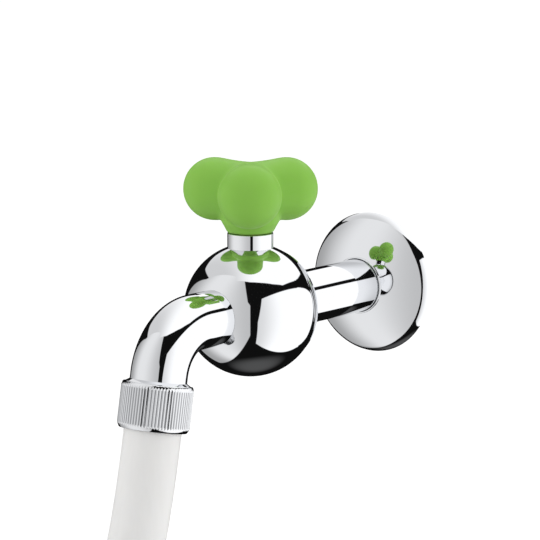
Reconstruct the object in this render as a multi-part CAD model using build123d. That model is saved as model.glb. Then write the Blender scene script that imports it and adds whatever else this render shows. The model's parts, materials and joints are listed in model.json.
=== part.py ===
from build123d import *
import os
from math import asin, cos, pi, radians, sin, sqrt, tan

# Hose bibb: a ball-bodied garden tap on a wall, with a trefoil handle, an elbow spout
# and a short hose held by a knurled union nut. Millimetres, +Z up, +Y into the wall.
# The origin is on the pipe's axis, in the wall's face.

# Ball body and rear cap
ball_to_wall = 88.0
ball_radius = 28.0
ball_wall = 3.2
seat_sink = 0.15
seam_back = 14.7
cap_step = 0.3
cap_wall = 3.5
cap_ledge = 2.33
skirt_wall = 2.3
skirt_length = 3.2
skirt_root = 1.5
cap_groove_depth = 1.15
cap_groove_half = 0.75
rear_ring_depth = 2.0
boss_wall = 3.2
boss_depth = 9.5

# Clearances between pieces that pass through each other
thread_gap = 0.05
running_gap = 0.05
handle_gap = 0.3
cap_gap = 0.5
disc_gap = 0.02
seal_rub = 0.02
foot_gap = 0.2
nose_end_gap = 0.5

# How far a cut runs past the face that it opens
over = 1.0

# Inlet pipe, its chromed sleeve and the wall flange
inlet_thread_radius = 10.48
inlet_thread_length = 15.0
inlet_thread_lead = 1.0
inlet_radius = 10.0
inlet_bore = 5.5
inlet_spigot_radius = 9.5
nose_radius = 8.0
nose_length = 7.5
nose_groove_depth = 1.1
nose_groove_half = 1.0
nose_seal_back = 2.2
sleeve_radius_wall = 11.7
sleeve_radius_ball = 11.45
sleeve_start = 0.5
sleeve_edge = 0.3
flange_radius = 31.0
flange_dome_radius = 50.0
flange_rim_radius = 6.0
flange_rim_slope = 75.0
flange_wall = 1.2
flange_lip_height = 0.9
flange_lip_wall = 0.7
flange_lip_gap = 0.12
flange_seal_width = 2.6
flange_seal_height = 2.2

# Valve tower inside the ball, and the duct that feeds it
tower_radius = 11.2
duct_bore = 5.0
duct_wall = 2.4
duct_front = 7.0
duct_end_wall = 2.0
seat_height = 8.0
seat_port = 4.5
window_width = 9.0
window_lift = 0.1
window_height = 2.4
window_margin = 1.0

# Quarter-turn cartridge
cartridge_thread_radius = 8.33
cartridge_thread_runout = 1.0
cartridge_foot_radius = 7.9
cartridge_neck_radius = 7.8
cartridge_edge = 0.3
cage_skirt = 1.0
cage_radius = 7.3
disc_radius = 7.2
disc_port_inner = 1.6
disc_port_outer = 6.0
disc_port_angle = 74.0
seat_seal_height = 2.0
fixed_disc_height = 3.0
turning_disc_height = 2.5
foot_height = 2.0
foot_width = 6.4
slide_washer_height = 0.8
spindle_radius = 4.8
spindle_end_gap = 1.5
spindle_tap_radius = 1.6
spindle_tap_depth = 8.0
spline_radius = 4.0
spline_depth = 0.3
spline_teeth = 20
spline_drop = 0.6
seal_groove_depth = 1.2
seal_groove_half = 0.8
spindle_seal_rise = 2.7
spindle_seal_pitch = 3.5
spindle_seal_count = 2
clip_height = 0.8
clip_width = 2.2
clip_groove_depth = 0.9
clip_opening = 5.0
clip_room = 0.4

# Chromed neck sleeve above the ball
neck_radius = 9.6
neck_rise = 4.6
neck_edge = 0.25
neck_lip_height = 1.0
neck_lip_bore = 5.2

# Trefoil handle
lobe_radius = 13.1
lobe_offset = 17.3
lobe_rise = 17.0
lobe_count = 3
lobe_turn = 37.0
waist_radius = 12.0
stem_radius = 9.8
stem_flare_height = 4.3
stem_flare_bulge = 0.3
insert_radius = 6.5
insert_height = 14.3
insert_lift = 0.3
grub_radius = 2.0
grub_rise = 4.0
grub_length = 5.2
grub_key = 1.0
grub_key_depth = 2.4
stop_turn = 90.0

# Elbow spout. Its end has a short cone up to the thread that the union nut turns on.
spout_radius = 11.65
spout_bore = 9.0
spout_reach = 38.1
bend_radius = 22.3
bend_angle = 79.1
spout_spigot_radius = 9.5
spout_spigot_bore = 7.0
spout_spigot_length = 8.5
spout_boss_wall = 2.8
spout_seal_back = 3.2
spout_groove_depth = 1.1
spout_groove_half = 0.9
shoulder_start = 2.5
shoulder_length = 1.0
outlet_thread_radius = 13.2
outlet_thread_start = 5.0
outlet_thread_edge = 0.8
thread_pitch = 1.814
nut_turns = 5.5

# Union nut, washer and barbed hose tail
nut_start = 3.7
nut_radius = 14.8
nut_top_radius = 14.2
nut_top_edge = 1.6
nut_bottom_radius = 13.8
nut_bottom_edge = 1.9
nut_countersink = 0.4
nut_lip = 2.0
nut_lip_bore = 9.5
nut_recess = 1.37
nut_recess_radius = 12.3
knurl_count = 70
knurl_depth = 0.35
washer_thickness = 2.0
washer_bore = 8.0
tail_flange_thickness = 2.0
tail_flange_gap = 0.3
tail_bore = 6.5
tail_neck_gap = 0.1
barb_count = 3
barb_pitch = 6.0
barb_land = 2.0
barb_depth = 0.7

# Hose
hose_radius = 11.8
hose_bore = 8.5
hose_top_gap = 0.3


# Frames. WALL looks out of the wall along the pipe, BALL stands upright in the ball's
# centre, OUTLET looks down the spout's mouth from the end of its bend.
WALL = Plane(origin=(0, 0, 0), x_dir=(1, 0, 0), z_dir=(0, -1, 0))
BALL = Plane(origin=(0, -ball_to_wall, 0), x_dir=(1, 0, 0), z_dir=(0, 0, 1))
bend_start = ball_to_wall + spout_reach
bend = radians(bend_angle)
outlet_origin = (
    0,
    -bend_start - bend_radius * sin(bend),
    -bend_radius * (1 - cos(bend)),
)
outlet_axis = (0, -cos(bend), -sin(bend))
OUTLET = Plane(origin=outlet_origin, x_dir=(1, 0, 0), z_dir=outlet_axis)

# Places along the pipe, measured from the wall
cap_radius = ball_radius + cap_step
cap_face = sqrt(cap_radius**2 - sleeve_radius_ball**2) - seat_sink
cap_face_place = ball_to_wall - cap_face
seam_place = ball_to_wall - seam_back
skirt_radius = sqrt(ball_radius**2 - seam_back**2) - cap_ledge
skirt_end = seam_place + skirt_length
skirt_back = seam_back - skirt_length
cap_seal_place = skirt_end - skirt_length / 2
boss_end = cap_face_place + boss_depth
nose_end = boss_end + nose_length
nose_groove = nose_radius - nose_groove_depth
nose_seal_place = nose_end - nose_seal_back
duct_radius = nose_radius + duct_wall
cavity_radius = ball_radius - ball_wall
duct_back = ball_to_wall - boss_end - cap_gap

# The flange's dome turns into its rounded rim at the join, and both arcs share one slope there
rim_edge = radians(flange_rim_slope)
rim_centre = flange_radius - flange_rim_radius * sin(rim_edge)
rim_level = -flange_rim_radius * cos(rim_edge)
join_slope = asin(rim_centre / (flange_dome_radius - flange_rim_radius))
dome_level = rim_level - (flange_dome_radius - flange_rim_radius) * cos(join_slope)

# Places up the ball's axis, measured from its centre
neck_seat = sqrt(ball_radius**2 - neck_radius**2) - seat_sink
neck_top = ball_radius + neck_rise
fixed_disc_low = seat_height + seat_seal_height
fixed_disc_high = fixed_disc_low + fixed_disc_height
turning_disc_low = fixed_disc_high + disc_gap
foot_low = turning_disc_low + turning_disc_height
foot_high = foot_low + foot_height
body_shoulder = foot_high + slide_washer_height
window_low = foot_low + window_lift
window_high = window_low + window_height
cartridge_top = neck_top - neck_lip_height - clip_height - clip_room
spindle_bore = spindle_radius + running_gap
clip_low = cartridge_top + running_gap
clip_high = clip_low + clip_height
spline_start = neck_top - spline_drop
grip_low = neck_top + handle_gap
lobe_height = grip_low + lobe_rise
grub_height = grip_low + grub_rise
insert_low = grip_low + insert_lift
insert_high = insert_low + insert_height
spindle_top = insert_high - spindle_end_gap

# Places in front of the ball and down the outlet
spout_face = sqrt(ball_radius**2 - spout_radius**2) - seat_sink
spout_face_place = ball_to_wall + spout_face
spigot_inner_place = spout_face_place - spout_spigot_length
spout_seal_place = spout_face_place - spout_seal_back
port_radius = spout_spigot_radius + thread_gap
thread_high = outlet_thread_start + nut_turns * thread_pitch
washer_high = thread_high + washer_thickness
tail_flange_high = washer_high + tail_flange_thickness
lip_low = tail_flange_high + running_gap
lip_high = lip_low + nut_lip
nut_end = lip_high + nut_recess
hose_start = lip_high + hose_top_gap
nut_bore = outlet_thread_radius + thread_gap
tail_flange_radius = nut_bore - tail_flange_gap
tail_neck_radius = nut_lip_bore - tail_neck_gap


def turned(*points):
    """A solid turned about Z from a closed outline of (radius, height) points."""
    outline = Polyline(*[(radius, 0, height) for radius, height in points], close=True)
    return revolve(make_face(outline), Axis.Z)


def rod(radius, low, high):
    """A plain round bar along Z."""
    return Pos(0, 0, low) * Cylinder(radius, high - low, align=(Align.CENTER, Align.CENTER, Align.MIN))


def ring(outer, inner, low, high):
    """A plain round tube along Z."""
    return rod(outer, low, high) - rod(inner, low - over, high + over)


def groove(radius, depth, place, half):
    """The ring that a groove takes out of a bar along Z."""
    return ring(radius + over, radius - depth, place - half, place + half)


def seal(inner, outer, height):
    """A round-section sealing ring that fills the gap between two radii."""
    section = (outer - inner) / 2
    return Pos(0, 0, height) * Torus(inner + section, section)


def block(size_x, size_y, low, high):
    """A rectangular block centred on Z."""
    return Pos(0, 0, low) * Box(size_x, size_y, high - low, align=(Align.CENTER, Align.CENTER, Align.MIN))


def toothed(radius, depth, teeth, low, high):
    """A bar with straight V-shaped teeth all round, as on a knurl or a spline."""
    points = []
    for tooth in range(teeth):
        crest = 2 * pi * tooth / teeth
        root = 2 * pi * (tooth + 0.5) / teeth
        points.append((radius * cos(crest), radius * sin(crest)))
        points.append(((radius - depth) * cos(root), (radius - depth) * sin(root)))
    outline = Plane.XY.offset(low) * make_face(Polyline(*points, close=True))
    return extrude(outline, high - low)


def save(node, solid):
    """Write one piece and print what it measures."""
    export_step(solid, f"parts/{node}.step")
    size = solid.bounding_box().size
    print(f"{node}: {size.X:.2f} x {size.Y:.2f} x {size.Z:.2f}, volume {solid.volume:.1f}")


def make_ball_body():
    """The casting: a hollow ball open at the back, with the valve tower inside."""
    ball = Sphere(ball_radius)
    shell = ball - Sphere(cavity_radius)
    to_back = Rot(-90, 0, 0)
    to_front = Rot(90, 0, 0)
    outside = ball_radius + over
    rear_ring = to_back * ring(ball_radius, skirt_radius, skirt_back - rear_ring_depth, seam_back)
    tower = rod(tower_radius, -duct_radius, ball_radius)
    duct = to_back * rod(duct_radius, -duct_front, duct_back)
    spout_boss = to_front * rod(port_radius + spout_boss_wall, spout_face - spout_spigot_length, ball_radius)
    solid = shell + (rear_ring & ball)
    solid -= to_back * rod(skirt_radius + thread_gap, skirt_back, outside)
    solid -= to_back * rod(outside, seam_back, outside)
    solid += (tower + duct + spout_boss) & ball
    # Water way in: duct, counterbore for the pipe's nose, and the port under the seat
    nose_back = ball_to_wall - nose_end
    solid -= to_back * rod(duct_bore, duct_end_wall - duct_front, ball_radius)
    solid -= to_back * rod(nose_radius + thread_gap, nose_back - nose_end_gap, ball_radius)
    solid -= rod(seat_port, 0, seat_height + over)
    # Cartridge chamber, its windows to the hollow ball, and the flat that the neck stands on
    window_span = 2 * (tower_radius + over)
    window = block(window_span, window_width, window_low - window_margin, window_high + window_margin)
    solid -= rod(cartridge_thread_radius + thread_gap, seat_height, outside)
    solid -= rod(neck_radius + thread_gap, neck_seat, outside)
    solid -= window
    # Way out: the spout's port and the flat that the spout stands on
    solid -= to_front * rod(port_radius, tower_radius, outside)
    solid -= to_front * rod(spout_radius + thread_gap, spout_face, outside)
    return BALL.location * solid


def make_rear_cap():
    """The back of the ball, located by its skirt, clamped by the pipe and bored for it."""
    centre = Pos(0, 0, ball_to_wall)
    skirt_inner = skirt_radius - skirt_wall
    dome = centre * (Sphere(cap_radius) - Sphere(ball_radius - cap_wall))
    boss = rod(inlet_spigot_radius + thread_gap + boss_wall, cap_face_place, boss_end)
    solid = dome + (boss & centre * Sphere(cap_radius))
    solid -= rod(cap_radius + over, seam_place, ball_to_wall + cap_radius + over)
    solid += ring(skirt_radius, skirt_inner, seam_place - skirt_root, skirt_end)
    solid -= groove(skirt_radius, cap_groove_depth, cap_seal_place, cap_groove_half)
    solid -= rod(inlet_spigot_radius + thread_gap, 0, ball_to_wall)
    solid -= rod(sleeve_radius_ball + thread_gap, 0, cap_face_place)
    return WALL.location * solid


def make_rear_cap_seal():
    """The sealing ring in the skirt's groove."""
    return WALL.location * seal(skirt_radius - cap_groove_depth, skirt_radius + thread_gap, cap_seal_place)


def make_inlet_pipe():
    """The brass pipe: wall thread, long shank, spigot through the cap, and nose."""
    solid = turned(
        (inlet_bore, -inlet_thread_length),
        (inlet_thread_radius - inlet_thread_lead, -inlet_thread_length),
        (inlet_thread_radius, inlet_thread_lead - inlet_thread_length),
        (inlet_thread_radius, 0),
        (inlet_radius, 0),
        (inlet_radius, cap_face_place),
        (inlet_spigot_radius, cap_face_place),
        (inlet_spigot_radius, boss_end),
        (nose_radius, boss_end),
        (nose_radius, nose_end),
        (inlet_bore, nose_end),
    )
    solid -= groove(nose_radius, nose_groove_depth, nose_seal_place, nose_groove_half)
    return WALL.location * solid


def make_nose_seal():
    """The sealing ring on the pipe's nose, inside the duct."""
    return WALL.location * seal(nose_groove, nose_radius + thread_gap, nose_seal_place)


def make_pipe_sleeve():
    """The chromed sleeve that shows between the flange and the ball."""
    bore = inlet_radius + thread_gap
    solid = turned(
        (bore, sleeve_start),
        (sleeve_radius_wall, sleeve_start),
        (sleeve_radius_ball, cap_face_place),
        (bore + sleeve_edge, cap_face_place),
        (bore, cap_face_place - sleeve_edge),
    )
    return WALL.location * solid


def dome_height(radius, inset=0.0):
    """Height of the flange's dome above the wall at a radius, or of a surface inside it."""
    return sqrt((flange_dome_radius - inset) ** 2 - radius**2) + dome_level


def rim_point(slope, inset=0.0):
    """The place on the flange's rounded rim with this slope, or on a surface inside it."""
    radius = flange_rim_radius - inset
    return (rim_centre + radius * sin(slope), 0, rim_level + radius * cos(slope))


def flange_arcs(start, inset=0.0):
    """The dome from a radius out to the join, and the rim from there down to the wall."""
    join = rim_point(join_slope, inset)
    middle = (start + join[0]) / 2
    dome = ThreePointArc(
        (start, 0, dome_height(start, inset)),
        (middle, 0, dome_height(middle, inset)),
        join,
    )
    radius = flange_rim_radius - inset
    rim_slope = asin(sqrt(radius**2 - rim_level**2) / radius)
    rim = ThreePointArc(join, rim_point((join_slope + rim_slope) / 2, inset), rim_point(rim_slope, inset))
    return dome, rim


def make_wall_flange():
    """The domed rosette with its rounded rim, and a short turned-out lip round the pipe."""
    hole = sleeve_radius_wall + flange_lip_gap
    lip_outer = hole + flange_lip_wall
    lip_middle = hole + flange_lip_wall / 2
    lip_top = dome_height(lip_outer) + flange_lip_height
    lip_side = lip_top - flange_lip_wall / 2
    dome, rim = flange_arcs(lip_outer)
    inner_dome, inner_rim = flange_arcs(hole, flange_wall)
    side = Line(dome @ 0, (lip_outer, 0, lip_side))
    nose = ThreePointArc(side @ 1, (lip_middle, 0, lip_top), (hole, 0, lip_side))
    bore = Line(nose @ 1, inner_dome @ 0)
    foot = Line(inner_rim @ 1, rim @ 1)
    face = make_face([dome, rim, foot, inner_rim, inner_dome, bore, nose, side])
    return WALL.location * revolve(face, Axis.Z)


def make_flange_seal():
    """The rubber ring behind the flange that grips the sleeve."""
    outer = sleeve_radius_wall + flange_seal_width
    top = dome_height(outer, flange_wall)
    return WALL.location * ring(outer, sleeve_radius_wall, top - flange_seal_height, top)


def make_cartridge_body():
    """The brass valve insert: cage, thread, and the neck that guides the spindle."""
    cage_low = fixed_disc_low - cage_skirt
    thread_low = body_shoulder + cartridge_thread_runout
    solid = turned(
        (cage_radius, cage_low),
        (cartridge_foot_radius, cage_low),
        (cartridge_foot_radius, thread_low),
        (cartridge_thread_radius, thread_low),
        (cartridge_thread_radius, neck_seat),
        (cartridge_neck_radius, neck_seat),
        (cartridge_neck_radius, cartridge_top - cartridge_edge),
        (cartridge_neck_radius - cartridge_edge, cartridge_top),
        (spindle_bore, cartridge_top),
        (spindle_bore, body_shoulder),
        (cage_radius, body_shoulder),
    )
    solid -= block(2 * (cartridge_foot_radius + over), window_width, window_low, window_high)
    return BALL.location * solid


def make_seat_seal():
    """The rubber seal under the fixed disc."""
    solid = ring(disc_radius, seat_port, seat_height, fixed_disc_low)
    return BALL.location * solid


def disc_ports(low, high):
    """Two opposite sector-shaped water ports."""
    port = ring(disc_port_outer, disc_port_inner, low - over, high + over)
    half = radians(disc_port_angle / 2)
    reach = 2 * disc_port_outer
    corner = (reach * cos(half), reach * sin(half))
    wedge = Polyline((0, 0), corner, (corner[0], -corner[1]), close=True)
    sector = extrude(Plane.XY.offset(low - over) * make_face(wedge), high - low + 2 * over)
    return port & (sector + Rot(0, 0, 180) * sector)


def make_fixed_disc():
    """The lower ceramic disc, which doesn't turn."""
    solid = rod(disc_radius, fixed_disc_low, fixed_disc_high) - disc_ports(fixed_disc_low, fixed_disc_high)
    return BALL.location * solid


def make_turning_disc():
    """The upper ceramic disc, closed at rest and open after a quarter turn."""
    ports = Rot(0, 0, stop_turn) * disc_ports(turning_disc_low, foot_low)
    solid = rod(disc_radius, turning_disc_low, foot_low) - ports
    return BALL.location * solid


def make_slide_washer():
    """The plastic washer between the spindle's foot and the cartridge."""
    solid = ring(cage_radius - foot_gap, spindle_bore, foot_high, body_shoulder)
    return BALL.location * solid


def spindle_seal_heights():
    """Where the spindle's sealing rings sit."""
    first = body_shoulder + spindle_seal_rise
    return [first + index * spindle_seal_pitch for index in range(spindle_seal_count)]


def make_spindle():
    """The stem: driving foot, sealed shank, clip groove and splined end."""
    solid = rod(spindle_radius, foot_low, clip_low)
    foot = rod(cage_radius - foot_gap, foot_low, foot_high)
    solid += foot & block(2 * cage_radius, foot_width, foot_low, foot_high)
    for height in spindle_seal_heights():
        solid -= groove(spindle_radius, seal_groove_depth, height, seal_groove_half)
    solid += rod(spindle_radius - clip_groove_depth, clip_low, clip_high)
    solid += rod(spline_radius, clip_high, spline_start)
    solid += toothed(spline_radius, spline_depth, spline_teeth, spline_start, spindle_top)
    solid -= rod(spindle_tap_radius, spindle_top - spindle_tap_depth, spindle_top + over)
    return BALL.location * solid


def make_spindle_seals():
    """Two small rings that seal the spindle in the cartridge."""
    inner = spindle_radius - seal_groove_depth
    rings = [seal(inner, spindle_bore - seal_rub, height) for height in spindle_seal_heights()]
    return BALL.location * Compound(children=rings)


def make_spindle_clip():
    """The open ring that keeps the spindle in the cartridge."""
    inner = spindle_radius - clip_groove_depth
    outer = inner + clip_width
    solid = ring(outer, inner, clip_low, clip_high)
    solid -= Pos(0, outer, 0) * block(clip_opening, 2 * outer, clip_low - over, clip_high + over)
    return BALL.location * solid


def make_neck_sleeve():
    """The chromed collar between the ball and the handle."""
    bore = cartridge_neck_radius + thread_gap
    lip_under = neck_top - neck_lip_height
    solid = turned(
        (bore, neck_seat),
        (neck_radius, neck_seat),
        (neck_radius, neck_top - neck_edge),
        (neck_radius - neck_edge, neck_top),
        (neck_lip_bore, neck_top),
        (neck_lip_bore, lip_under),
        (bore, lip_under),
    )
    return BALL.location * solid


def make_lobe_arm():
    """One lobe with the long curved web that joins it to the middle, turned about its axis."""
    web_radius = (lobe_offset**2 + waist_radius**2 - lobe_radius**2) / (2 * (lobe_radius - waist_radius))
    web = Vector(0, waist_radius + web_radius)
    lobe = Vector(lobe_offset, 0)
    on_lobe = web + (lobe - web).normalized() * web_radius
    on_waist = Vector(0, waist_radius)
    on_web = web + ((on_lobe + on_waist) / 2 - web).normalized() * web_radius
    on_crown = lobe + ((on_lobe - lobe).normalized() + Vector(1, 0)).normalized() * lobe_radius
    tip = (lobe_offset + lobe_radius, 0)
    crown = ThreePointArc(tip, on_crown, on_lobe)
    hollow = ThreePointArc(on_lobe, on_web, on_waist)
    middle = Line(on_waist, (0, 0))
    axis = Line((0, 0), tip)
    return revolve(make_face([crown, hollow, middle, axis]), Axis.X)


def make_handle_grip():
    """The trefoil: three round lobes webbed together on a flared stem."""
    flare_top = grip_low + stem_flare_height
    flare_middle = stem_radius + (waist_radius - stem_radius) * stem_flare_bulge
    core_top = lobe_height - waist_radius / 4
    flare = ThreePointArc(
        (stem_radius, 0, grip_low),
        (flare_middle, 0, grip_low + stem_flare_height / 2),
        (waist_radius, 0, flare_top),
    )
    side = Line(flare @ 1, (waist_radius, 0, core_top))
    top = Line(side @ 1, (0, 0, core_top))
    axis = Line(top @ 1, (0, 0, grip_low))
    foot = Line(axis @ 1, flare @ 0)
    solid = revolve(make_face([flare, side, top, axis, foot]), Axis.Z)
    arm = make_lobe_arm()
    for lobe in range(lobe_count):
        turn = lobe_turn - 90 + lobe * 360 / lobe_count
        solid += Pos(0, 0, lobe_height) * Rot(0, 0, turn) * arm
    solid -= rod(insert_radius, grip_low - over, insert_high)
    solid -= at_grub_screw(rod(grub_radius + thread_gap, 0, lobe_offset))
    return BALL.location * solid


def at_grub_screw(bar):
    """A bar along Z, laid so that it points out of the stem between the two rear lobes."""
    turn = lobe_turn + 90
    return Pos(0, 0, grub_height) * Rot(0, 0, turn) * (Rot(0, 90, 0) * bar)


def make_handle_insert():
    """The splined brass bush inside the handle's stem."""
    solid = ring(insert_radius, spline_radius, insert_low, insert_high)
    solid -= at_grub_screw(rod(grub_radius, 0, lobe_offset))
    return BALL.location * solid


def make_grub_screw():
    """The socket set screw that locks the handle on the spindle."""
    head = spline_radius + grub_length
    screw = rod(grub_radius, spline_radius, head)
    key = Plane.XY.offset(head - grub_key_depth) * RegularPolygon(grub_key, 6)
    screw -= extrude(key, grub_key_depth + over)
    return BALL.location * at_grub_screw(screw)


def spout_run(radius, mouth_end):
    """A round bar from the ball's face through the bend to a place down the outlet."""
    root = WALL.location * rod(radius, spout_face_place, bend_start)
    section = Plane(origin=(0, -bend_start, 0), x_dir=(1, 0, 0), z_dir=(0, -1, 0)) * Circle(radius)
    hinge = Axis((0, -bend_start, -bend_radius), (1, 0, 0))
    elbow = revolve(section, hinge, bend_angle)
    mouth = OUTLET.location * rod(radius, 0, mouth_end)
    return root + elbow + mouth


def make_spout_elbow():
    """The spout: spigot into the ball, straight root, bend, cone and threaded mouth."""
    shoulder_end = shoulder_start + shoulder_length
    spigot = rod(spout_spigot_radius, spigot_inner_place, spout_face_place)
    spigot -= groove(spout_spigot_radius, spout_groove_depth, spout_seal_place, spout_groove_half)
    thread = turned(
        (0, shoulder_start),
        (spout_radius, shoulder_start),
        (outlet_thread_radius, shoulder_end),
        (outlet_thread_radius, thread_high - outlet_thread_edge),
        (outlet_thread_radius - outlet_thread_edge, thread_high),
        (0, thread_high),
    )
    solid = spout_run(spout_radius, outlet_thread_start) + WALL.location * spigot + OUTLET.location * thread
    solid -= spout_run(spout_bore, thread_high + over)
    solid -= WALL.location * rod(spout_spigot_bore, spigot_inner_place - over, spout_face_place + over)
    return solid


def make_spout_seal():
    """The sealing ring on the spout's spigot."""
    return WALL.location * seal(spout_spigot_radius - spout_groove_depth, port_radius, spout_seal_place)


def make_hose_nut():
    """The union nut: a straight knurl that runs out over both chamfers, thread and lip inside."""
    solid = turned(
        (0, nut_start),
        (nut_top_radius, nut_start),
        (nut_radius, nut_start + nut_top_edge),
        (nut_radius, nut_end - nut_bottom_edge),
        (nut_bottom_radius, nut_end),
        (0, nut_end),
    )
    solid &= toothed(nut_radius, knurl_depth, knurl_count, nut_start, nut_end)
    solid -= rod(nut_bore, nut_start - over, lip_low)
    solid -= turned(
        (0, nut_start),
        (nut_bore + nut_countersink, nut_start),
        (nut_bore, nut_start + nut_countersink),
        (0, nut_start + nut_countersink),
    )
    solid -= rod(nut_lip_bore, lip_low - over, nut_end + over)
    solid -= rod(nut_recess_radius, lip_high, nut_end + over)
    return OUTLET.location * solid


def make_hose_washer():
    """The flat rubber washer between the spout's mouth and the hose tail."""
    return OUTLET.location * ring(tail_flange_radius, washer_bore, thread_high, washer_high)


def make_hose_tail():
    """The brass hose tail: flange held by the nut, neck, and barbs inside the hose."""
    root = hose_bore - barb_depth
    points = [
        (tail_bore, washer_high),
        (tail_flange_radius, washer_high),
        (tail_flange_radius, tail_flange_high),
        (tail_neck_radius, tail_flange_high),
        (tail_neck_radius, hose_start),
        (root, hose_start),
    ]
    for barb in range(barb_count):
        crest = hose_start + barb_land + barb * barb_pitch
        points.append((root, crest))
        points.append((hose_bore, crest))
        points.append((root, crest + barb_pitch - barb_land))
    points.append((tail_bore, hose_start + barb_count * barb_pitch))
    return OUTLET.location * turned(*points)


# The hose hangs from the tail and swings a little away from the wall. Each step is a run
# of the route: its length and its lean away from straight down, in degrees.
hose_lean = 90.0 - bend_angle
hose_steps = (
    (26.0, hose_lean),
    (34.0, 17.23),
    (52.0, 16.66),
    (66.0, 16.0),
    (78.0, 11.0),
    (78.0, 6.0),
    (60.0, 2.0),
)


def hose_route():
    """The route's points, from inside the nut down to the cut end."""
    point = OUTLET.origin + OUTLET.z_dir * hose_start
    points = [point]
    for length, lean in hose_steps:
        step = Vector(0, -sin(radians(lean)), -cos(radians(lean))) * length
        point = point + step
        points.append(point)
    return points


def hose_path():
    """Straight runs joined by the widest arcs that they allow."""
    points = hose_route()
    radii = []
    for before, here, after in zip(points, points[1:], points[2:]):
        turn = (here - before).get_angle(after - here)
        shorter = min((here - before).length, (after - here).length)
        radii.append(0.45 * shorter / tan(radians(turn / 2)))
    print("hose radii:", [round(radius) for radius in radii])
    return FilletPolyline(*points, radius=radii)


def make_hose_tube():
    """The hose, hollow from end to end."""
    path = hose_path()
    mouth = Plane(origin=path @ 0, x_dir=(1, 0, 0), z_dir=path % 0)
    solid = sweep(mouth * (Circle(hose_radius) - Circle(hose_bore)), path)
    wall_section = pi * (hose_radius**2 - hose_bore**2)
    print(f"hose length {path.length:.1f}, wall section times length {path.length * wall_section:.0f}")
    return solid


pieces = {
    "wall_flange": make_wall_flange,
    "flange_seal": make_flange_seal,
    "inlet_pipe": make_inlet_pipe,
    "pipe_sleeve": make_pipe_sleeve,
    "nose_seal": make_nose_seal,
    "ball_body": make_ball_body,
    "ball_rear_cap": make_rear_cap,
    "rear_cap_seal": make_rear_cap_seal,
    "neck_sleeve": make_neck_sleeve,
    "cartridge_body": make_cartridge_body,
    "seat_seal": make_seat_seal,
    "fixed_disc": make_fixed_disc,
    "turning_disc": make_turning_disc,
    "slide_washer": make_slide_washer,
    "spindle": make_spindle,
    "spindle_seals": make_spindle_seals,
    "spindle_clip": make_spindle_clip,
    "handle_grip": make_handle_grip,
    "handle_insert": make_handle_insert,
    "handle_grub_screw": make_grub_screw,
    "spout_elbow": make_spout_elbow,
    "spout_seal": make_spout_seal,
    "hose_nut": make_hose_nut,
    "hose_washer": make_hose_washer,
    "hose_tail": make_hose_tail,
    "hose_tube": make_hose_tube,
}

os.makedirs("parts", exist_ok=True)
for node, make in pieces.items():
    save(node, make())
print("outlet origin", [round(value, 3) for value in outlet_origin])
print("outlet axis", [round(value, 5) for value in outlet_axis])
print("hose route", [tuple(round(value, 2) for value in point) for point in hose_route()])
print("along the outlet: nut", round(nut_start, 3), "to", round(nut_end, 3), "mouth", round(thread_high, 3))
print("neck top", round(neck_top, 3), "lobe centres", round(lobe_height, 3))
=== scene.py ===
# %% [markdown]
# # A ball-bodied hose bibb
# A garden tap for a wall: a polished chrome ball, a green trefoil handle, an elbow spout with a
# knurled union nut, and a short length of white hose. The solid pieces come ready-made with their
# real sizes. This lesson gives them their finishes, models the pieces that need a softer or finer
# form than a solid has, and lights them as a product photographer lights chrome.

# %% Load the frame
import json
from math import cos, pi, radians, sin

import bpy
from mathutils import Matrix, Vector


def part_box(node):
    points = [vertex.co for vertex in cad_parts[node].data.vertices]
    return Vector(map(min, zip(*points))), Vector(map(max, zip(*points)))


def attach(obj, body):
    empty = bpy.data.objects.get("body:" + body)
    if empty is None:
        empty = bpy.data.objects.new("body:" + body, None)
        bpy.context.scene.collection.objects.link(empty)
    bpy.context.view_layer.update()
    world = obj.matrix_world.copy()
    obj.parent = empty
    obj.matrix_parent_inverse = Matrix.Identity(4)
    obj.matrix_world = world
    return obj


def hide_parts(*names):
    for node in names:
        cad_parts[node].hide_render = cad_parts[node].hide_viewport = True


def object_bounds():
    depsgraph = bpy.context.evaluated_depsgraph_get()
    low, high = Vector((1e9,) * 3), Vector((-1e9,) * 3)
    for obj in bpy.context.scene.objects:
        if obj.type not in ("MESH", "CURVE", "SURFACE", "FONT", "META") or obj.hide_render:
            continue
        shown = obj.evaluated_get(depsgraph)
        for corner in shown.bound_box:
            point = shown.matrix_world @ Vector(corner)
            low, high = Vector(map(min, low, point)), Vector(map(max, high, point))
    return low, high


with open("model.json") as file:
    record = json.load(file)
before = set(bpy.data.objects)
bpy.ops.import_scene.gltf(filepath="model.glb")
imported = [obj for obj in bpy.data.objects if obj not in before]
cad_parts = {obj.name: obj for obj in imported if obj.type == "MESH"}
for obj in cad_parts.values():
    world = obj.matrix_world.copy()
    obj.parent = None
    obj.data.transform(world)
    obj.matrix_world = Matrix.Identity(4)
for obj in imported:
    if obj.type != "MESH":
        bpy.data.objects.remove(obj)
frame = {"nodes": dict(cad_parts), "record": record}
solid_bounds = [list(corner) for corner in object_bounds()]
print("solids from", solid_bounds[0], "to", solid_bounds[1])

# %% [markdown]
# ## The camera
# Chrome shows the room round it, so every reflection depends on where the camera stands. The camera
# comes first for that reason. It is a long lens from a little over a metre away, a bit above the
# tap and well to the right of its spout.

# %% Place the camera
camera_turn = radians(37.370)
camera_rise = radians(9.314)
camera_distance = 1.2
camera_aim = Vector((-0.018536, -0.050213, 0.009985))
camera_lens = 184.99
sensor_width = 36


def direction_at(turned, lifted):
    """The direction at a turn to the right of the front and a height above level, in radians."""
    return Vector((sin(turned) * cos(lifted), -cos(turned) * cos(lifted), sin(lifted)))


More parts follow.
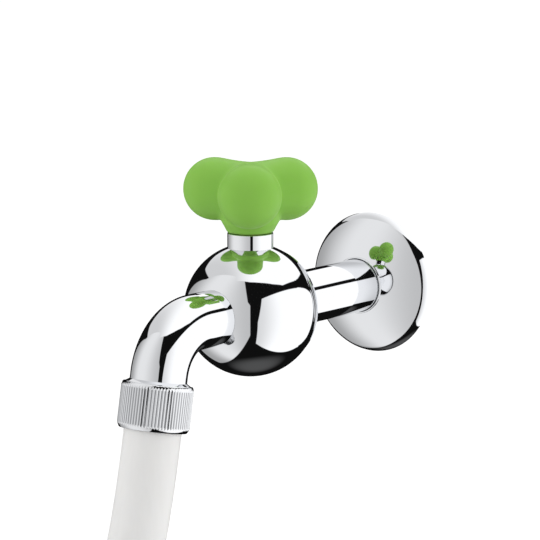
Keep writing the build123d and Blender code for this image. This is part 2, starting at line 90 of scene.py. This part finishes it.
camera_place = camera_aim + camera_distance * direction_at(camera_turn, camera_rise)
bpy.ops.object.camera_add(location=camera_place, rotation=(pi / 2 - camera_rise, 0, camera_turn))
camera = bpy.context.object
camera.name = "camera"
camera.data.sensor_width = sensor_width
camera.data.lens = camera_lens
bpy.context.scene.camera = camera
print("camera at", tuple(round(value, 4) for value in camera_place))

# %% [markdown]
# ## Small helpers
# An operator acts on everything that is selected, so each piece starts from an empty selection. A
# finished piece keeps its object at the origin, with its place in its mesh.

# %% Helpers for pieces
merge_distance = 0.00001
smooth_angle = radians(40)


def select_only(piece):
    """Selects one piece and makes it active."""
    bpy.ops.object.select_all(action="DESELECT")
    piece.select_set(True)
    bpy.context.view_layer.objects.active = piece


def apply_modifier(piece, kind, **settings):
    """Adds a modifier with these settings and applies it."""
    select_only(piece)
    modifier = piece.modifiers.new(kind.title(), kind)
    for name, value in settings.items():
        setattr(modifier, name, value)
    bpy.ops.object.modifier_apply(modifier=modifier.name)


def new_profile(name, points):
    """A closed line of edges through the points, ready to be turned about an axis."""
    count = len(points)
    edges = [(index, (index + 1) % count) for index in range(count)]
    mesh = bpy.data.meshes.new(name)
    mesh.from_pydata(points, edges, [])
    piece = bpy.data.objects.new(name, mesh)
    bpy.context.collection.objects.link(piece)
    return piece


def tidy_mesh(piece):
    """Merges doubled points and turns every face outwards."""
    select_only(piece)
    bpy.ops.object.mode_set(mode="EDIT")
    bpy.ops.mesh.select_all(action="SELECT")
    bpy.ops.mesh.remove_doubles(threshold=merge_distance)
    bpy.ops.mesh.normals_make_consistent(inside=False)
    bpy.ops.object.mode_set(mode="OBJECT")


def finish_piece(piece, body, material):
    """Puts a finished piece on its body, with its finish."""
    piece.data.materials.clear()
    piece.data.materials.append(material)
    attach(piece, body)
    print(piece.name, "has", len(piece.data.polygons), "faces")


print("helpers for pieces ready")

# %% [markdown]
# ## Helpers for finishes
# A material is a short chain of nodes. Sockets are linked where a value varies over the surface,
# and are plain numbers where it doesn't.


# %% Helpers for node trees
def put(tree, kind, **settings):
    """Adds a node and sets its options."""
    node = tree.nodes.new(kind)
    for name, value in settings.items():
        setattr(node, name, value)
    return node


def plug(tree, target, value):
    """Links an output to an input, or writes a plain value there."""
    if isinstance(value, bpy.types.NodeSocket):
        tree.links.new(value, target)
    else:
        target.default_value = value


def reckon(tree, operation, *values):
    """One step of arithmetic."""
    node = put(tree, "ShaderNodeMath", operation=operation)
    for index, value in enumerate(values):
        plug(tree, node.inputs[index], value)
    return node.outputs[0]


def along(tree, vector, direction):
    """How far a vector goes along a direction."""
    node = put(tree, "ShaderNodeVectorMath", operation="DOT_PRODUCT")
    plug(tree, node.inputs[0], vector)
    node.inputs[1].default_value = direction
    return node.outputs["Value"]


def ramp_between(tree, value, start, end, low=0.0, high=1.0):
    """A smooth rise or fall from low at start to high at end."""
    node = put(tree, "ShaderNodeMapRange", interpolation_type="SMOOTHSTEP")
    plug(tree, node.inputs["Value"], value)
    node.inputs["From Min"].default_value = start
    node.inputs["From Max"].default_value = end
    node.inputs["To Min"].default_value = low
    node.inputs["To Max"].default_value = high
    return node.outputs["Result"]


print("helpers for node trees ready")

# %% Helpers for surfaces
noise_roughness = 0.55


def noise(tree, vector, scale, detail=4.0):
    """A noise pattern, in cells per metre."""
    node = put(tree, "ShaderNodeTexNoise")
    plug(tree, node.inputs["Vector"], vector)
    node.inputs["Scale"].default_value = scale
    node.inputs["Detail"].default_value = detail
    node.inputs["Roughness"].default_value = noise_roughness
    return node.outputs["Fac"]


def blend_colours(tree, factor, first, second):
    """Goes from the first colour to the second."""
    node = put(tree, "ShaderNodeMix", data_type="RGBA")
    plug(tree, node.inputs["Factor"], factor)
    plug(tree, node.inputs["A"], (*first, 1.0))
    plug(tree, node.inputs["B"], (*second, 1.0))
    return node.outputs["Result"]


def raise_surface(tree, height, distance):
    """A bump of that many metres."""
    node = put(tree, "ShaderNodeBump")
    plug(tree, node.inputs["Height"], height)
    node.inputs["Distance"].default_value = distance
    return node.outputs["Normal"]


def new_material(name):
    """An empty material with its shader, and the place on the piece as a vector."""
    material = bpy.data.materials.new(name)
    material.use_nodes = True
    tree = material.node_tree
    shader = next(node for node in tree.nodes if node.type == "BSDF_PRINCIPLED")
    place = put(tree, "ShaderNodeTexCoord").outputs["Object"]
    return material, tree, shader, place


def dress_shader(tree, shader, colour, roughness, relief=None):
    """Gives a shader its colour, its roughness and, where there is one, its bump."""
    plug(tree, shader.inputs["Base Color"], colour)
    plug(tree, shader.inputs["Roughness"], roughness)
    if relief is not None:
        plug(tree, shader.inputs["Normal"], relief)


print("helpers for surfaces ready")

# %% [markdown]
# ## Chrome plate
# Chrome is bright metal with hardly any blur. What makes it look real is what it reflects, and two
# small faults: a plated casting is never perfectly even, and dried water leaves a faint haze in
# patches. The first is a very shallow bump, the second a slow change in roughness.

# %% Make the chrome
chrome_colour = (0.80, 0.81, 0.83)
cloud_shade = 0.96
plate_waviness = 0.00004


def make_chrome():
    """Mirror-polished plate with slight waviness and a patchy haze."""
    material, tree, shader, place = new_material("chrome_plate")
    shader.inputs["Metallic"].default_value = 1.0
    patches = noise(tree, place, scale=55, detail=6)
    haze = ramp_between(tree, patches, start=0.45, end=0.75, low=0.02, high=0.055)
    clouded = tuple(cloud_shade * part for part in chrome_colour)
    tint = blend_colours(tree, noise(tree, place, scale=20), chrome_colour, clouded)
    waves = raise_surface(tree, noise(tree, place, scale=45, detail=1), plate_waviness)
    dress_shader(tree, shader, tint, haze, waves)
    return material


chrome = make_chrome()
print("chrome ready")

# %% [markdown]
# ## The knurled nut's chrome
# Plate goes on thin in a narrow groove, so the chrome there is duller, and painted shade darkens
# the grooves. The distance from the nut's axis tells a groove from a crest, and the plain bands
# above and below the knurl get no painted shade.

# %% Make the knurled chrome
outlet_point = (0, -0.15203, -0.03903)
outlet_axis = (0, -0.1891, -0.9820)
groove_radius = 0.01448
crest_radius = 0.01474
knurl_start = -0.0160
knurl_end = -0.0008
knurl_edge = 0.0005
# painted shade: the grooves' colour, darker where shade would fall
groove_shade_colour = (0.32, 0.325, 0.34)
crest_colour = (0.78, 0.79, 0.81)
nut_waviness = 0.00001


def make_knurled_chrome():
    """Chrome that is duller at the bottom of the grooves, and darkened there by painted shade."""
    material, tree, shader, place = new_material("knurled_chrome")
    shader.inputs["Metallic"].default_value = 1.0
    from_point = put(tree, "ShaderNodeVectorMath", operation="SUBTRACT")
    plug(tree, from_point.inputs[0], place)
    from_point.inputs[1].default_value = outlet_point
    across = put(tree, "ShaderNodeVectorMath", operation="CROSS_PRODUCT")
    plug(tree, across.inputs[0], from_point.outputs["Vector"])
    across.inputs[1].default_value = outlet_axis
    radius = put(tree, "ShaderNodeVectorMath", operation="LENGTH")
    plug(tree, radius.inputs[0], across.outputs["Vector"])
    crest = ramp_between(tree, radius.outputs["Value"], groove_radius, crest_radius)
    height = along(tree, from_point.outputs["Vector"], outlet_axis)
    above = ramp_between(tree, height, knurl_start, knurl_start + knurl_edge, low=1.0, high=0.0)
    below = ramp_between(tree, height, knurl_end - knurl_edge, knurl_end)
    outside_grooves = reckon(tree, "MAXIMUM", crest, reckon(tree, "MAXIMUM", above, below))
    # painted shade: the colour darkens in the grooves, away from the crests and the plain bands
    colour = blend_colours(tree, outside_grooves, groove_shade_colour, crest_colour)
    film = ramp_between(tree, outside_grooves, start=0.0, end=1.0, low=0.28, high=0.05)
    waves = raise_surface(tree, noise(tree, place, scale=45, detail=1), nut_waviness)
    dress_shader(tree, shader, colour, film, waves)
    return material


knurl_chrome = make_knurled_chrome()
print("knurled chrome ready")

# %% [markdown]
# ## Brass
# The parts inside are turned from bar, and their brass keeps the lathe's fine rings and patches of
# light brown tarnish.

# %% Make the brass
bright_brass = (0.78, 0.62, 0.32)
tarnished_brass = (0.56, 0.41, 0.2)


def make_brass():
    """Machined brass with fine turning marks and patches of tarnish."""
    material, tree, shader, place = new_material("plain_brass")
    shader.inputs["Metallic"].default_value = 1.0
    tarnish = ramp_between(tree, noise(tree, place, scale=90, detail=8), start=0.4, end=0.7)
    colour = blend_colours(tree, tarnish, bright_brass, tarnished_brass)
    dullness = ramp_between(tree, tarnish, start=0.0, end=1.0, low=0.2, high=0.42)
    rings = put(tree, "ShaderNodeTexWave", wave_type="BANDS", bands_direction="Y")
    plug(tree, rings.inputs["Vector"], place)
    rings.inputs["Scale"].default_value = 900.0
    rings.inputs["Distortion"].default_value = 0.6
    marks = raise_surface(tree, rings.outputs["Fac"], distance=0.00002)
    dress_shader(tree, shader, colour, dullness, marks)
    return material


brass = make_brass()
print("brass ready")

# %% [markdown]
# ## Rubber, ceramic, plastic and steel
# Moulded rubber is nearly black with a dusty bloom. The valve's discs are lapped ceramic, smooth
# and slightly speckled. The slide washer is plain white plastic, and the clip and the set screw are
# drawn steel with fine lines along them.

# %% Make the rubber
rubber_colour = (0.03, 0.03, 0.032)
bloom_colour = (0.075, 0.075, 0.078)


def make_rubber():
    """Moulded black rubber with a faint grey bloom."""
    material, tree, shader, place = new_material("black_rubber")
    bloom = ramp_between(tree, noise(tree, place, scale=160, detail=6), start=0.45, end=0.8)
    colour = blend_colours(tree, bloom, rubber_colour, bloom_colour)
    dullness = ramp_between(tree, bloom, start=0.0, end=1.0, low=0.5, high=0.75)
    grain = raise_surface(tree, noise(tree, place, scale=2500), distance=0.00003)
    dress_shader(tree, shader, colour, dullness, grain)
    return material


rubber = make_rubber()
print("rubber ready")

# %% Make the ceramic
ceramic_colour = (0.86, 0.86, 0.83)
speckle_colour = (0.7, 0.69, 0.65)


def make_ceramic():
    """Lapped off-white ceramic with fine speckles."""
    material, tree, shader, place = new_material("disc_ceramic")
    speckle = ramp_between(tree, noise(tree, place, scale=3000, detail=2), start=0.62, end=0.72)
    colour = blend_colours(tree, speckle, ceramic_colour, speckle_colour)
    dullness = ramp_between(tree, speckle, start=0.0, end=1.0, low=0.12, high=0.25)
    dress_shader(tree, shader, colour, dullness)
    return material


ceramic = make_ceramic()
print("ceramic ready")

# %% Make the white plastic
washer_colour = (0.86, 0.86, 0.84)
washer_shade = (0.8, 0.8, 0.77)
washer_roughness = 0.42


def make_white_plastic():
    """Plain moulded white plastic."""
    material, tree, shader, place = new_material("white_plastic")
    clouds = noise(tree, place, scale=300)
    colour = blend_colours(tree, clouds, washer_colour, washer_shade)
    grain = raise_surface(tree, noise(tree, place, scale=1800), distance=0.00002)
    dress_shader(tree, shader, colour, washer_roughness, grain)
    return material


white_plastic = make_white_plastic()
print("white plastic ready")

# %% Make the steel
steel_colour = (0.5, 0.51, 0.53)
steel_line_colour = (0.6, 0.61, 0.63)


def make_steel():
    """Drawn steel with fine lines and a soft sheen."""
    material, tree, shader, place = new_material("spring_steel")
    shader.inputs["Metallic"].default_value = 1.0
    stretch = put(tree, "ShaderNodeMapping")
    plug(tree, stretch.inputs["Vector"], place)
    stretch.inputs["Scale"].default_value = (1.0, 1.0, 12.0)
    lines = noise(tree, stretch.outputs["Vector"], scale=700)
    colour = blend_colours(tree, lines, steel_colour, steel_line_colour)
    sheen = ramp_between(tree, lines, start=0.2, end=0.8, low=0.22, high=0.4)
    dress_shader(tree, shader, colour, sheen)
    return material


steel = make_steel()
print("steel ready")

# %% [markdown]
# ## The green handle's plastic
# The handle is satin, lets a little light in, and looks softer than paint. Light scattering below
# the surface does that. A very fine grain blurs the highlights.

# %% Make the green plastic
green_colour = (0.225, 0.485, 0.068)
pale_green_colour = (0.245, 0.51, 0.078)
grain_depth = 0.000015


def make_green():
    """Satin green plastic that light enters slightly."""
    material, tree, shader, place = new_material("green_plastic")
    clouds = noise(tree, place, scale=60, detail=3)
    colour = blend_colours(tree, clouds, green_colour, pale_green_colour)
    patches = noise(tree, place, scale=150)
    sheen = ramp_between(tree, patches, start=0.3, end=0.7, low=0.42, high=0.5)
    shader.inputs["Specular IOR Level"].default_value = 0.2
    shader.inputs["Subsurface Weight"].default_value = 0.25
    shader.inputs["Subsurface Radius"].default_value = (0.6, 1.0, 0.25)
    shader.inputs["Subsurface Scale"].default_value = 0.004
    grain = raise_surface(tree, noise(tree, place, scale=3500, detail=2), grain_depth)
    dress_shader(tree, shader, colour, sheen, grain)
    return material


green = make_green()
print("green plastic ready")

# %% [markdown]
# ## The hose's plastic
# Garden hose is extruded, so its marks run along it: faint lines, and slow changes where the wall
# is thicker. Its white is milky rather than painted.

# %% Make the hose's plastic
hose_colour = (0.78, 0.775, 0.765)
hose_line_colour = (0.82, 0.815, 0.805)


def make_hose_plastic():
    """Milky white extruded plastic with faint lengthwise lines."""
    material, tree, shader, place = new_material("white_hose")
    stretch = put(tree, "ShaderNodeMapping")
    plug(tree, stretch.inputs["Vector"], place)
    stretch.inputs["Scale"].default_value = (1.0, 1.0, 0.03)
    lines = noise(tree, stretch.outputs["Vector"], scale=600, detail=3)
    colour = blend_colours(tree, lines, hose_colour, hose_line_colour)
    patches = noise(tree, place, scale=80)
    sheen = ramp_between(tree, patches, start=0.3, end=0.7, low=0.4, high=0.5)
    shader.inputs["Subsurface Weight"].default_value = 0.2
    shader.inputs["Subsurface Radius"].default_value = (1.0, 0.95, 0.85)
    shader.inputs["Subsurface Scale"].default_value = 0.003
    dress_shader(tree, shader, colour, sheen, raise_surface(tree, lines, distance=0.00002))
    return material


hose_plastic = make_hose_plastic()
print("hose plastic ready")

# %% [markdown]
# ## The hose
# The hose is a short length that hangs from the nut. It leaves along the spout's mouth, swings a
# little away from the wall and comes back to straight down. Its line is a smooth spline that
# follows given points, and a round section along it makes the tube. Solidify then gives the
# wall its thickness, so the cut end shows a real bore. Mirror rays don't see the hose, so the
# chrome shows the studio in its place.

# %% Draw the hose's line
hose_radius = 0.0118
hose_wall = 0.0033
hose_points = [
    (0, -0.15203, -0.03903),
    (0, -0.15695, -0.06456),
    (0, -0.16702, -0.09703),
    (0, -0.18193, -0.14685),
    (0, -0.20012, -0.21029),
    (0, -0.21500, -0.28686),
    (0, -0.22315, -0.36443),
    (0, -0.22525, -0.42439),
]


def make_route(name, points):
    """A smooth open spline that follows the points."""
    line = bpy.data.curves.new(name, "CURVE")
    line.dimensions = "3D"
    line.resolution_u = 16
    spline = line.splines.new("NURBS")
    spline.points.add(len(points) - 1)
    for point, place in zip(spline.points, points):
        point.co = (*place, 1.0)
    spline.order_u = 3
    spline.use_endpoint_u = True
    route = bpy.data.objects.new(name, line)
    bpy.context.collection.objects.link(route)
    return route


hose = make_route("hose", hose_points)
bpy.context.view_layer.update()
hose_line = bpy.data.meshes.new_from_object(hose)
bpy.data.meshes.remove(hose_line)

# %% Model the hose
hose.data.bevel_depth = hose_radius
hose.data.bevel_resolution = 14
select_only(hose)
bpy.ops.object.convert(target="MESH")
tidy_mesh(hose)
apply_modifier(hose, "SOLIDIFY", thickness=hose_wall, offset=-1.0, use_rim=True)
select_only(hose)
bpy.ops.object.shade_smooth_by_angle(angle=smooth_angle)
finish_piece(hose, "hose_end", hose_plastic)
hose.visible_glossy = False
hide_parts("hose_tube")

# %% [markdown]
# ## The trefoil handle
# The solid handle is three lobes joined by webs, with a crease wherever two surfaces meet. The real
# one is moulded, and its surfaces run into each other like soft clay. A copy of the solid is
# rebuilt as an even skin, and smoothing then melts the creases. Smoothing also shrinks a form
# slightly, so the skin is pushed out again by what it lost.

# %% Model the handle
solid_merge = 0.000005
handle_skin = 0.0007
handle_smoothing = 26
handle_regain = 0.00022


def copy_of_node(node, name):
    """A copy of a solid's surface as one closed mesh."""
    copy = bpy.data.objects.new(name, frame["nodes"][node].data.copy())
    bpy.context.collection.objects.link(copy)
    select_only(copy)
    bpy.ops.object.mode_set(mode="EDIT")
    bpy.ops.mesh.select_all(action="SELECT")
    bpy.ops.mesh.customdata_custom_splitnormals_clear()
    bpy.ops.mesh.remove_doubles(threshold=solid_merge)
    bpy.ops.object.mode_set(mode="OBJECT")
    return copy


trefoil = copy_of_node("handle_grip", "trefoil_handle")
apply_modifier(trefoil, "REMESH", mode="VOXEL", voxel_size=handle_skin)
apply_modifier(trefoil, "SMOOTH", factor=0.5, iterations=handle_smoothing)
apply_modifier(trefoil, "DISPLACE", strength=handle_regain, mid_level=0.0)
select_only(trefoil)
bpy.ops.object.shade_smooth()
finish_piece(trefoil, "handle", green)
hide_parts("handle_grip")

# %% [markdown]
# ## The knurled nut
# A knurling wheel presses its grooves in, so their edges are slightly rounded. Each rounded edge
# catches a thin line of light, and those lines are what the eye takes for knurling. A Bevel
# modifier rounds every sharp edge of a copy of the solid.

# %% Model the knurled nut
nut_rounding = 0.00012
flat_angle = radians(1)
sharp_angle = radians(20)

nut = copy_of_node("hose_nut", "knurled_nut")
bpy.ops.object.mode_set(mode="EDIT")
bpy.ops.mesh.select_all(action="SELECT")
bpy.ops.mesh.dissolve_limited(angle_limit=flat_angle)
bpy.ops.object.mode_set(mode="OBJECT")
apply_modifier(
    nut,
    "BEVEL",
    width=nut_rounding,
    segments=2,
    limit_method="ANGLE",
    angle_limit=sharp_angle,
    use_clamp_overlap=False,
)
select_only(nut)
bpy.ops.object.shade_smooth_by_angle(angle=smooth_angle)
finish_piece(nut, "union_nut", knurl_chrome)
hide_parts("hose_nut")

# %% [markdown]
# ## The inlet pipe and its thread
# Behind the flange, the brass pipe screws into the wall. As a solid its thread is a plain cylinder.
# Here the pipe is turned again with its thread: the Screw modifier spins a profile without any rise
# for the pipe itself, and with the thread's pitch for the helical rib.

# %% Turn the pipe
pipe_low, pipe_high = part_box("inlet_pipe")
thread_depth = 0.00116
thread_crest = pipe_high.x
thread_root = thread_crest - thread_depth
pipe_bore = 0.0055
shank_radius = 0.010
spigot_radius = 0.0095
spigot_length = 0.0095
nose_radius = 0.008
nose_length = 0.0075
nose_end = pipe_low.y
nose_start = nose_end + nose_length
spigot_start = nose_start + spigot_length
wall_end = pipe_high.y
end_chamfer = 0.0004
pipe_steps = 96

pipe_outline = [
    (0, wall_end, pipe_bore),
    (0, wall_end, thread_root - end_chamfer),
    (0, wall_end - end_chamfer, thread_root),
    (0, 0.0, thread_root),
    (0, 0.0, shank_radius),
    (0, spigot_start, shank_radius),
    (0, spigot_start, spigot_radius),
    (0, nose_start, spigot_radius),
    (0, nose_start, nose_radius),
    (0, nose_end, nose_radius),
    (0, nose_end, pipe_bore),
]
pipe = new_profile("threaded_pipe", pipe_outline)
apply_modifier(
    pipe,
    "SCREW",
    axis="Y",
    angle=2 * pi,
    steps=pipe_steps,
    render_steps=pipe_steps,
    use_merge_vertices=True,
)
tidy_mesh(pipe)
print("the pipe is", round(wall_end - nose_end, 4), "long")

# %% Wind the thread
thread_pitch = 0.001814
thread_turns = 7
thread_steps = 64
thread_start = 0.0008
rib_sink = 0.0002
rib_rise_end = 0.40
rib_fall_start = 0.55
rib_fall_end = 0.95
thread_smooth_angle = radians(30)

rib_outline = [
    (0, thread_start, thread_root - rib_sink),
    (0, thread_start + rib_rise_end * thread_pitch, thread_crest),
    (0, thread_start + rib_fall_start * thread_pitch, thread_crest),
    (0, thread_start + rib_fall_end * thread_pitch, thread_root - rib_sink),
]
rib = new_profile("thread_rib", rib_outline)
apply_modifier(
    rib,
    "SCREW",
    axis="Y",
    angle=2 * pi,
    steps=thread_steps,
    render_steps=thread_steps,
    screw_offset=thread_pitch,
    iterations=thread_turns,
)
select_only(rib)
bpy.ops.object.mode_set(mode="EDIT")
bpy.ops.mesh.select_all(action="SELECT")
bpy.ops.mesh.fill_holes(sides=0)
bpy.ops.object.mode_set(mode="OBJECT")
tidy_mesh(rib)

select_only(pipe)
rib.select_set(True)
bpy.ops.object.join()
bpy.ops.object.shade_smooth_by_angle(angle=thread_smooth_angle)
finish_piece(pipe, "tap_body", brass)
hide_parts("inlet_pipe")

# %% [markdown]
# ## Finishes for the solid pieces
# Every solid names the finish it has, so one loop dresses them all. The tail sits inside the hose,
# so mirror rays don't see it either.

# %% Dress the solids
finishes = {
    "chrome_plate": chrome,
    "knurled_chrome": knurl_chrome,
    "plain_brass": brass,
    "black_rubber": rubber,
    "disc_ceramic": ceramic,
    "white_plastic": white_plastic,
    "spring_steel": steel,
    "green_plastic": green,
    "white_hose": hose_plastic,
}
for subpart in frame["record"]["subparts"]:
    solid = frame["nodes"][subpart["node"]]
    solid.data.materials.clear()
    solid.data.materials.append(finishes[subpart["material_slot"]])
frame["nodes"]["hose_tail"].visible_glossy = False

# %% [markdown]
# ## The studio that the chrome sees
# A photographer lights chrome with large soft boxes and leaves dark gaps between them, because the
# gaps draw the black lines that give polished metal its form. This studio has one box overhead that
# runs on behind the tap, and one on each side of the camera, with a dark slot between them and
# darkness below. A white card joins the left box to the one overhead. The studio is painted in the
# world by direction, and only mirror rays see it. Some edges of the boxes lie at a fixed turn from
# the camera. The others are flat cuts through the sky, each given by two corners or by the
# direction that it faces: right, away from the camera, and up.

# %% Find the directions of the studio
world = bpy.data.worlds.new("studio")
bpy.context.scene.world = world
world.use_nodes = True
sky = world.node_tree
sky.nodes.clear()
outward = put(sky, "ShaderNodeTexCoord").outputs["Generated"]
facing = put(sky, "ShaderNodeVectorRotate", rotation_type="Z_AXIS")
plug(sky, facing.inputs["Vector"], outward)
facing.inputs["Angle"].default_value = -camera_turn
gaze = facing.outputs[0]
parts = put(sky, "ShaderNodeSeparateXYZ")
plug(sky, parts.inputs[0], gaze)
to_right, away = parts.outputs[:2]
turn = reckon(sky, "ARCTAN2", to_right, reckon(sky, "MULTIPLY", away, -1.0))
print("directions of the studio found")

# %% Helpers for the boxes
box_blur = 0.02
turn_blur = radians(1.2)


def cut(direction, place=0.0):
    """1 on the side that the direction faces and 0 on the other, with a soft edge between."""
    reach = along(sky, gaze, direction)
    return ramp_between(sky, reach, place - box_blur / 2, place + box_blur / 2)


def turn_between(start, end):
    """1 between two turns from the camera, to the right, in degrees."""
    first, last = radians(start), radians(end)
    after = ramp_between(sky, turn, first - turn_blur / 2, first + turn_blur / 2)
    before = ramp_between(sky, turn, last - turn_blur / 2, last + turn_blur / 2, low=1.0, high=0.0)
    return reckon(sky, "MULTIPLY", after, before)


def product(*values):
    """All the values multiplied."""
    result = values[0]
    for value in values[1:]:
        result = reckon(sky, "MULTIPLY", result, value)
    return result


def panel(*corners):
    """1 inside an outline, with each corner a turn from the camera and a height, in degrees."""
    points = [direction_at(radians(turned), radians(lifted)) for turned, lifted in corners]
    middle = sum(points, Vector())
    edges = []
    for first, second in zip(points, points[1:] + points[:1]):
        edge = first.cross(second).normalized()
        edges.append(cut(edge if edge.dot(middle) > 0 else -edge))
    return product(*edges)


print("helpers for the boxes ready")

# %% Paint the box overhead
overhead_outline = panel(
    (0, 57.5),
    (28, 55),
    (57, 46.5),
    (77, 38),
    (114, 27.5),
    (141, 18),
    (-161, 19),
    (-140, 24),
    (-108, 34),
    (-55, 51),
)
overhead = product(overhead_outline, ramp_between(sky, to_right, start=-0.6, end=0.2, low=0.6))
print("box overhead painted")

# %% Paint the boxes beside the camera, and the card
right_box = product(
    turn_between(13, 138),
    cut((0.941, 0.262, -0.214)),
    cut((0.436, -0.296, -0.850)),
    cut((0.469, -0.366, -0.802)),
    cut((0.740, -0.404, 0.538), place=-0.05),
    ramp_between(sky, turn, start=radians(12), end=radians(60), low=0.68),
)
left_outline = product(
    turn_between(-145, 0),
    cut((-0.821, -0.164, -0.547)),
    cut((-0.600, -0.416, -0.684)),
    cut((-0.926, -0.215, 0.311)),
)
card = panel((-3, 15), (-19, 62), (-60, 62), (-116, 36), (-116, 18), (-75, 0), (-20, 0))
left_box = product(
    reckon(sky, "MAXIMUM", left_outline, card),
    ramp_between(sky, turn, start=radians(-70), end=radians(0), low=0.76, high=0.5),
    ramp_between(sky, turn, start=radians(-138), end=radians(-85), low=0.45),
)
print("side boxes and card painted")

# %% Join the boxes
box_level = 1.27
dark_level = 0.006
sheen_direction = (0.1, 0.275, -0.956)

toward_sheen = along(sky, gaze, sheen_direction)
floor_sheen = ramp_between(sky, toward_sheen, start=0.88, end=1.0, low=0.0, high=0.07)
brightest = reckon(sky, "MAXIMUM", overhead, reckon(sky, "MAXIMUM", right_box, left_box))
lit = reckon(sky, "MAXIMUM", brightest, floor_sheen)
mirror_light = reckon(sky, "MULTIPLY_ADD", lit, box_level, dark_level)
print("boxes joined")

# %% Show each kind of ray its own studio
fill_level = 0.65
backdrop_level = 1.0
rays = put(sky, "ShaderNodeLightPath")


def light_for(ray, level, otherwise):
    """One level for this kind of ray and another for the rest."""
    node = put(sky, "ShaderNodeMix", data_type="FLOAT")
    plug(sky, node.inputs["Factor"], rays.outputs[ray])
    plug(sky, node.inputs["A"], otherwise)
    plug(sky, node.inputs["B"], level)
    return node.outputs["Result"]


without_camera = light_for("Is Glossy Ray", mirror_light, fill_level)
all_light = light_for("Is Camera Ray", backdrop_level, without_camera)
background = put(sky, "ShaderNodeBackground")
background.inputs["Color"].default_value = (1.0, 1.0, 1.0, 1.0)
plug(sky, background.inputs["Strength"], all_light)
sky_output = put(sky, "ShaderNodeOutputWorld")
plug(sky, sky_output.inputs["Surface"], background.outputs[0])
print("studio painted")

# %% [markdown]
# ## Lamps
# Plastic and rubber don't mirror the boxes sharply, so two large lamps stand where the side boxes
# are, and a third one overhead. The mirrors don't see them, because the painted boxes are there.

# %% Hang the lamps
lamp_distance = 1.5


def hang_lamp(name, turn_degrees, rise_degrees, size, power):
    """A square soft lamp, at a turn from the camera and a height, that faces the tap."""
    outwards = direction_at(camera_turn + radians(turn_degrees), radians(rise_degrees))
    bpy.ops.object.light_add(type="AREA", location=camera_aim + lamp_distance * outwards)
    lamp = bpy.context.object
    lamp.name = name
    lamp.rotation_euler = outwards.to_track_quat("Z", "Y").to_euler()
    lamp.data.size = size
    lamp.data.energy = power
    lamp.visible_glossy = False


hang_lamp("right_lamp", turn_degrees=70, rise_degrees=15, size=1.0, power=9)
hang_lamp("left_lamp", turn_degrees=-70, rise_degrees=15, size=1.0, power=7)
hang_lamp("top_lamp", turn_degrees=180, rise_degrees=70, size=1.2, power=6.5)
print("lamps hung")

# %% [markdown]
# ## The floor
# The floor is pale and lies just below the end of the hose. To the camera it also glows, so that it
# is as white as the background. It stays white below the tap too, so no shadow shows on it. The
# mirrors don't see it.

# %% Lay the floor
floor_drop = 0.03
floor_size = 40
floor_tone = 0.84
floor_glow = 0.5
floor_height = solid_bounds[0][2] - floor_drop
bpy.ops.mesh.primitive_plane_add(size=floor_size, location=(0, 0, floor_height))
floor = bpy.context.object
floor.name = "floor"
floor.visible_glossy = False
floor_material = bpy.data.materials.new("pale_floor")
floor_material.use_nodes = True
paint = floor_material.node_tree
paint.nodes.clear()
matt = put(paint, "ShaderNodeBsdfDiffuse")
matt.inputs["Color"].default_value = (floor_tone, floor_tone, floor_tone, 1.0)
glow = put(paint, "ShaderNodeEmission")
camera_ray = put(paint, "ShaderNodeLightPath").outputs["Is Camera Ray"]
plug(paint, glow.inputs["Strength"], reckon(paint, "MULTIPLY", camera_ray, floor_glow))
both = put(paint, "ShaderNodeAddShader")
plug(paint, both.inputs[0], matt.outputs[0])
plug(paint, both.inputs[1], glow.outputs[0])
plug(paint, put(paint, "ShaderNodeOutputMaterial").inputs["Surface"], both.outputs[0])
floor.data.materials.append(floor_material)
bpy.context.scene.view_settings.view_transform = "Standard"
print("floor at", round(floor_height, 3))
